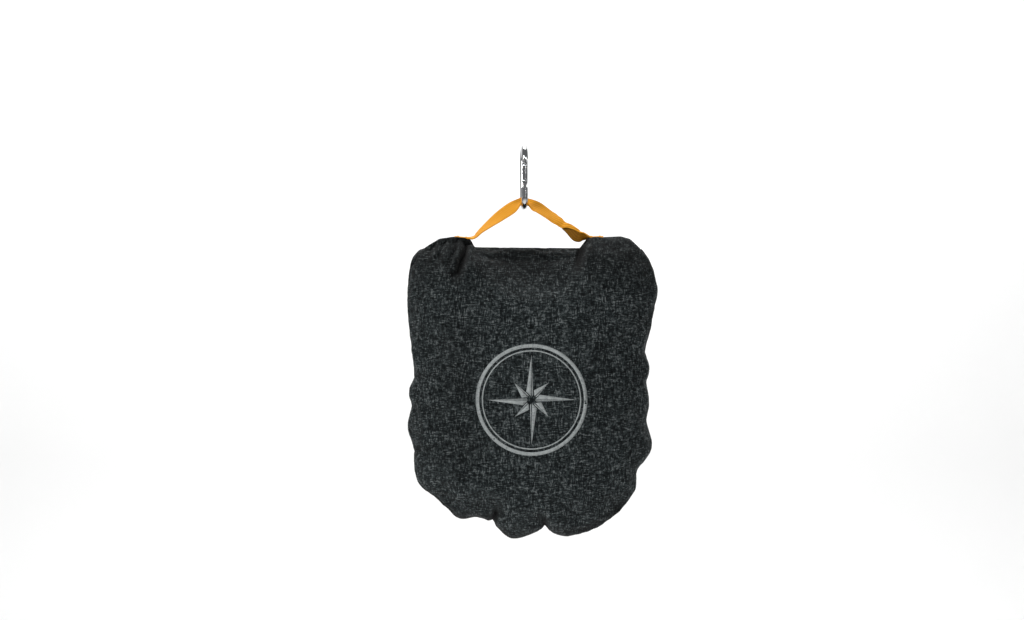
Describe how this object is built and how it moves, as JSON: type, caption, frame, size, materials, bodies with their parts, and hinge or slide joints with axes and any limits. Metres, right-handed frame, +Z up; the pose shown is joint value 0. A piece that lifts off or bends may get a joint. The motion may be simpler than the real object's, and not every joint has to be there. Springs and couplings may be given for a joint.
{
  "type": "packed camp pillow",
  "caption": "Camp pillow stuffed into its own zipped fabric pouch, hanging by a twisted webbing loop from a sprung snap hook.",
  "frame": {"origin": "inside of the snap hook's crown, where whatever holds the pillow bears on it", "axes": "+Z up, the plain front faces -Y, the zipped back faces +Y, X across the pouch"},
  "size_m": [0.2535, 0.114, 0.4036],
  "materials": {
    "heather_fabric": "matte heather weave",
    "orange_webbing": "ribbed webbing",
    "orange_thread": "dense stitching",
    "polished_steel": "polished",
    "zip_tape": "matte woven tape",
    "zip_coil": "satin",
    "slider_metal": "dark satin",
    "pillow_knit": "brushed knit",
    "liner_cloth": "plain weave",
    "foam": "open-cell foam"
  },
  "bodies": {
    "hook": {"hook_body": "polished_steel", "gate_rivet": "polished_steel"},
    "gate": {"hook_gate": "polished_steel", "latch_pin": "polished_steel", "gate_plunger": "polished_steel", "gate_spring": "polished_steel"},
    "loop": {"hang_loop": "orange_webbing"},
    "pouch": {"sewn_end_left": "orange_webbing", "sewn_end_right": "orange_webbing", "bar_tack_left_inner": "orange_thread", "bar_tack_left_outer": "orange_thread", "bar_tack_right_inner": "orange_thread", "bar_tack_right_outer": "orange_thread", "front_panel": "heather_fabric", "back_upper_panel": "heather_fabric", "back_lower_panel": "heather_fabric", "seam_tape": "zip_tape", "zip_tape_upper": "zip_tape", "zip_tape_lower": "zip_tape", "zip_coil_upper": "zip_coil", "zip_coil_lower": "zip_coil", "zip_stop_left": "slider_metal", "zip_stop_right": "slider_metal", "pillow_cover": "pillow_knit", "pillow_cover_inner_face": "pillow_knit", "pillow_liner": "liner_cloth", "foam_fill": "foam"},
    "slider": {"zip_slider": "slider_metal"},
    "pull": {"zip_pull": "slider_metal"}
  },
  "joints": [
    {"name": "gate_hinge", "type": "hinge", "parent": "hook", "child": "gate", "pos_m": [0.00088, -0.01119, -0.03407], "axis": [-0.9969, -0.0785, 0], "range_deg": [0, 26], "stiffness_Nm_per_rad": 0.08, "springref_deg": -57.3},
    {"name": "loop_swing", "type": "hinge", "parent": "hook", "child": "loop", "pos_m": [0, 0, -0.0582], "axis": [-0.0785, 0.9969, 0], "range_deg": [-22, 22]},
    {"name": "pouch_swing", "type": "hinge", "parent": "loop", "child": "pouch", "pos_m": [0.00875, 0, -0.0886], "axis": [1, 0, 0], "range_deg": [-30, 30]},
    {"name": "zip_travel", "type": "hinge", "parent": "pouch", "child": "slider", "pos_m": [0.00875, -0.2442, -0.1517], "axis": [0, 0, 1], "range_deg": [0, 28.4]},
    {"name": "pull_swing", "type": "hinge", "parent": "slider", "child": "pull", "pos_m": [0.08113, 0.04132, -0.1517], "axis": [0, 0, -1], "range_deg": [0, 150]}
  ]
}
